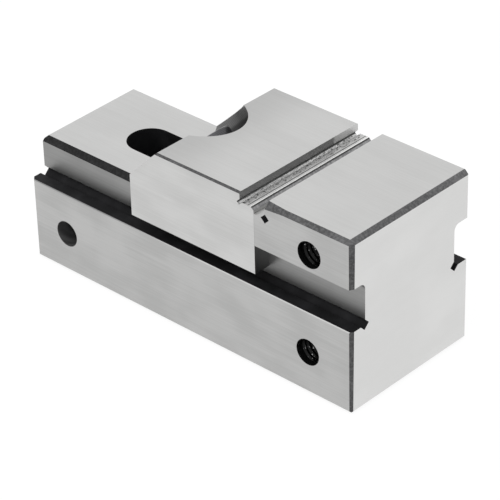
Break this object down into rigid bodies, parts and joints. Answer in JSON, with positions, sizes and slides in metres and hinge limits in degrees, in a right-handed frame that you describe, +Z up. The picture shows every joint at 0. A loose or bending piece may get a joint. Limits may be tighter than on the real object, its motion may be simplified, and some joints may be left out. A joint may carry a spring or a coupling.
{
  "type": "screwless vise",
  "caption": "Small ground steel screwless vise: a moving jaw slides on a bed rail and is drawn down by a sloped clamp screw and a cross pin; side grooves and tapped side holes.",
  "frame": {"origin": "middle of the ground base, on the surface it stands on", "axes": "+X along the bed from the tail to the fixed jaw, +Y across, +Z up"},
  "size_m": [0.0636, 0.025, 0.0282],
  "materials": {
    "ground_steel": "ground",
    "hardened_steel": "turned",
    "black_screw": "black oxide"
  },
  "bodies": {
    "body": {"vise_body": "ground_steel"},
    "moving_jaw": {"moving_jaw": "ground_steel"},
    "spherical_washer": {"spherical_washer": "hardened_steel"},
    "clamp_screw": {"clamp_screw": "black_screw"},
    "pull_pin": {"pull_pin": "hardened_steel"}
  },
  "joints": [
    {"name": "jaw_slide", "type": "slide", "parent": "body", "child": "moving_jaw", "axis": [-1, 0, 0], "range_m": [0, 0.016]},
    {"name": "screw_swivel", "type": "hinge", "parent": "moving_jaw", "child": "spherical_washer", "pos_m": [-0.0077, 0, 0.02565], "axis": [0, -1, 0], "range_deg": [0, 1.5]},
    {"name": "screw_turn", "type": "hinge", "parent": "spherical_washer", "child": "clamp_screw", "pos_m": [-0.0077, 0, 0.02565], "axis": [0.7071, 0, -0.7071], "range_deg": [0, 1836]},
    {"name": "pin_draw", "type": "slide", "parent": "spherical_washer", "child": "pull_pin", "axis": [-0.7071, 0, 0.7071], "range_m": [0, 0.0035]}
  ],
  "couplings": [
    {"joint": "screw_turn", "follows": "pin_draw", "rad_per_m": 8976}
  ]
}
